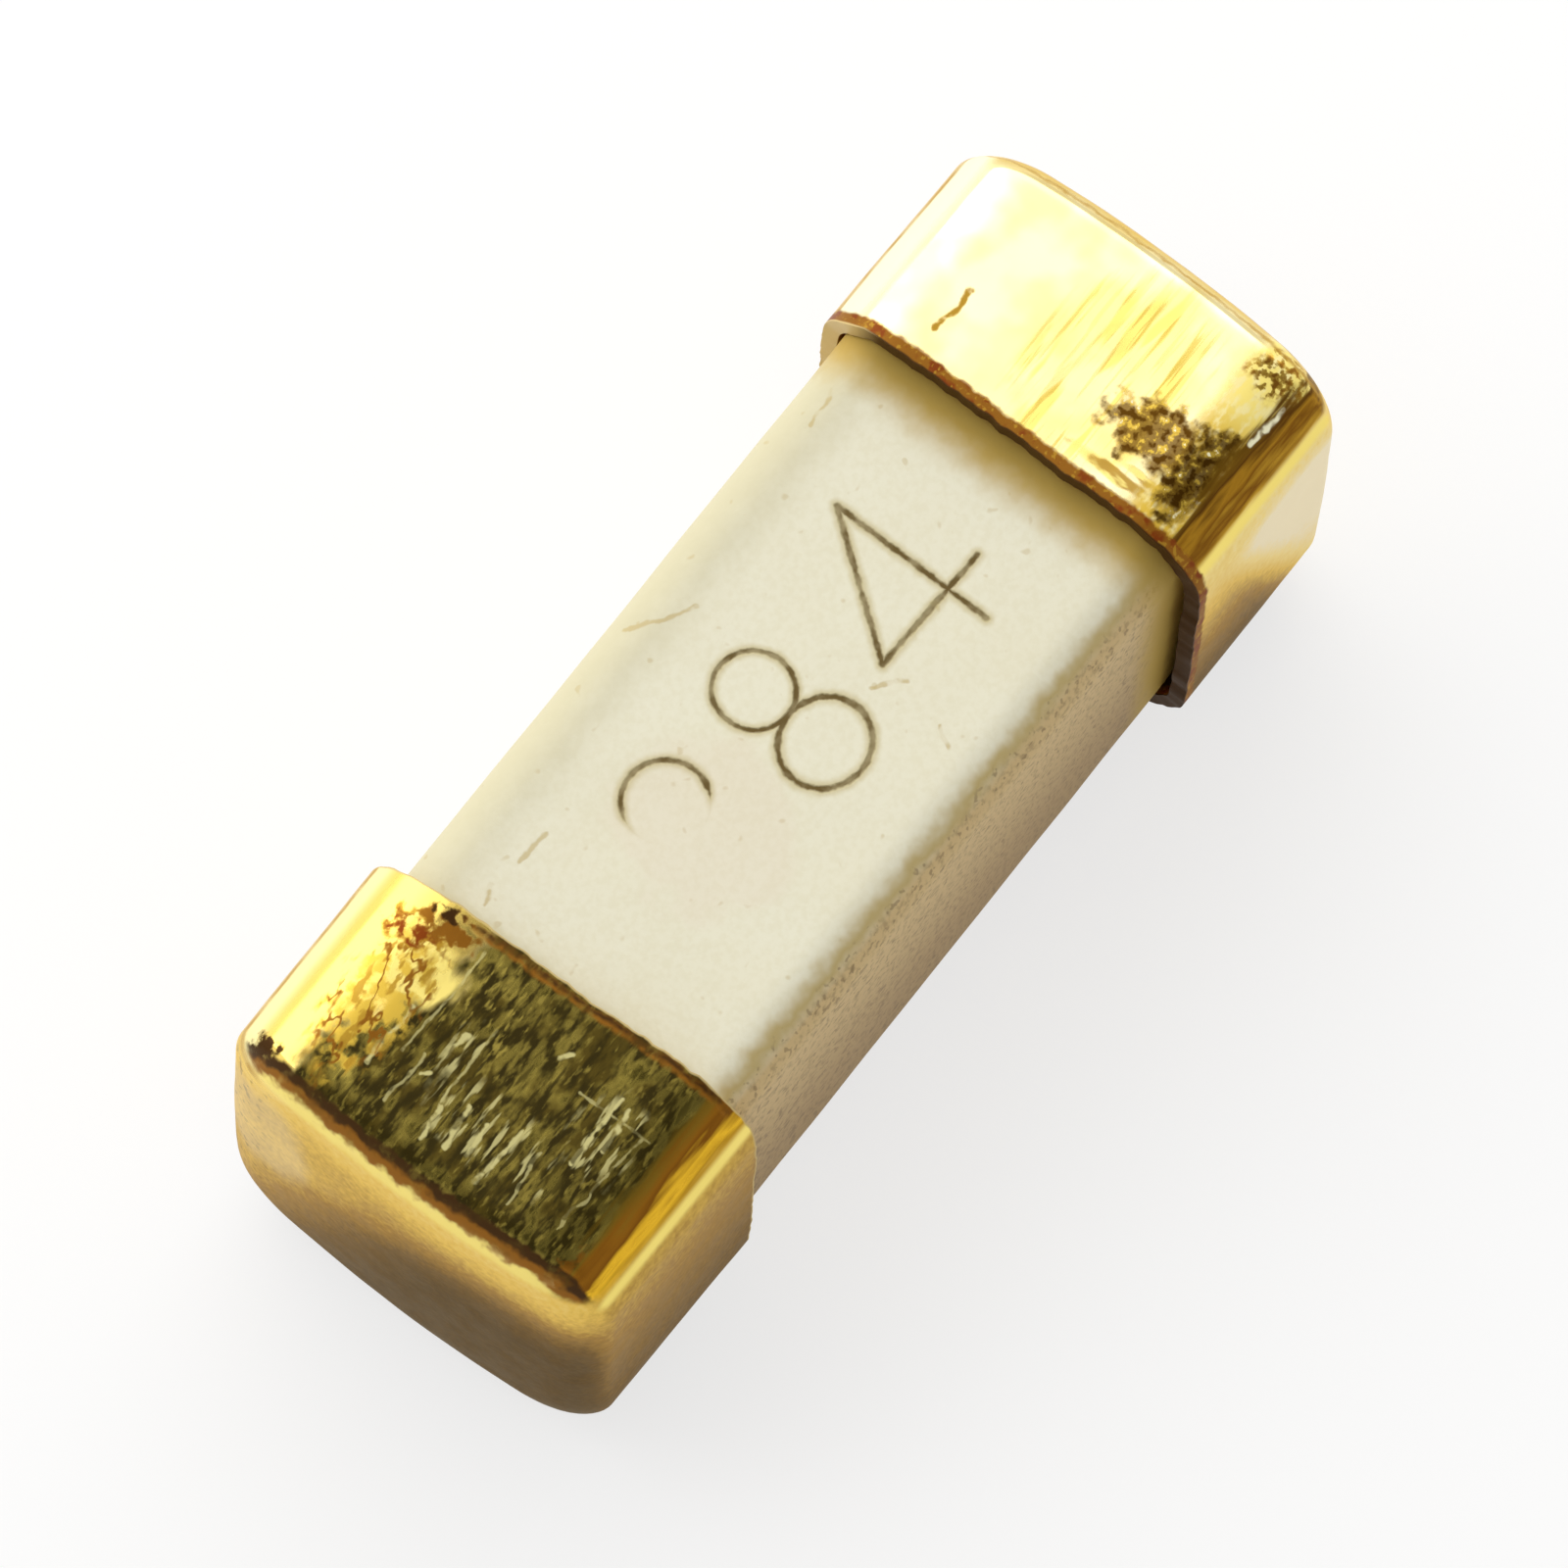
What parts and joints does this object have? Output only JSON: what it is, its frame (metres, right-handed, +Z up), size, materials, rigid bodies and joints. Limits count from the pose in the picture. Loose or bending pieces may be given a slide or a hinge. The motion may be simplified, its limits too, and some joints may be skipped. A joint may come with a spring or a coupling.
{
  "type": "square ceramic surface-mount fuse",
  "caption": "Square ceramic tube fuse with a gold-plated cap pressed on each end and a diagonal melting wire sealed inside, soldered flat to a circuit board.",
  "frame": {"origin": "on the seating plane, below the middle of the fuse", "axes": "+X along the fuse towards the right cap, +Y across it towards the tops of the printed digits, +Z up out of the printed face"},
  "size_m": [0.0122, 0.0046, 0.0046],
  "materials": {
    "ceramic": "unglazed, fine grained, stained along the edges",
    "gold_plate": "thin gold plating on drawn brass, with fine draw lines and scratches",
    "wire_metal": "drawn copper alloy",
    "solder": "dull tin solder"
  },
  "bodies": {
    "root": {"ceramic_body": "ceramic", "left_cap": "gold_plate", "right_cap": "gold_plate", "fuse_wire": "wire_metal", "left_solder": "solder", "right_solder": "solder"}
  },
  "joints": []
}
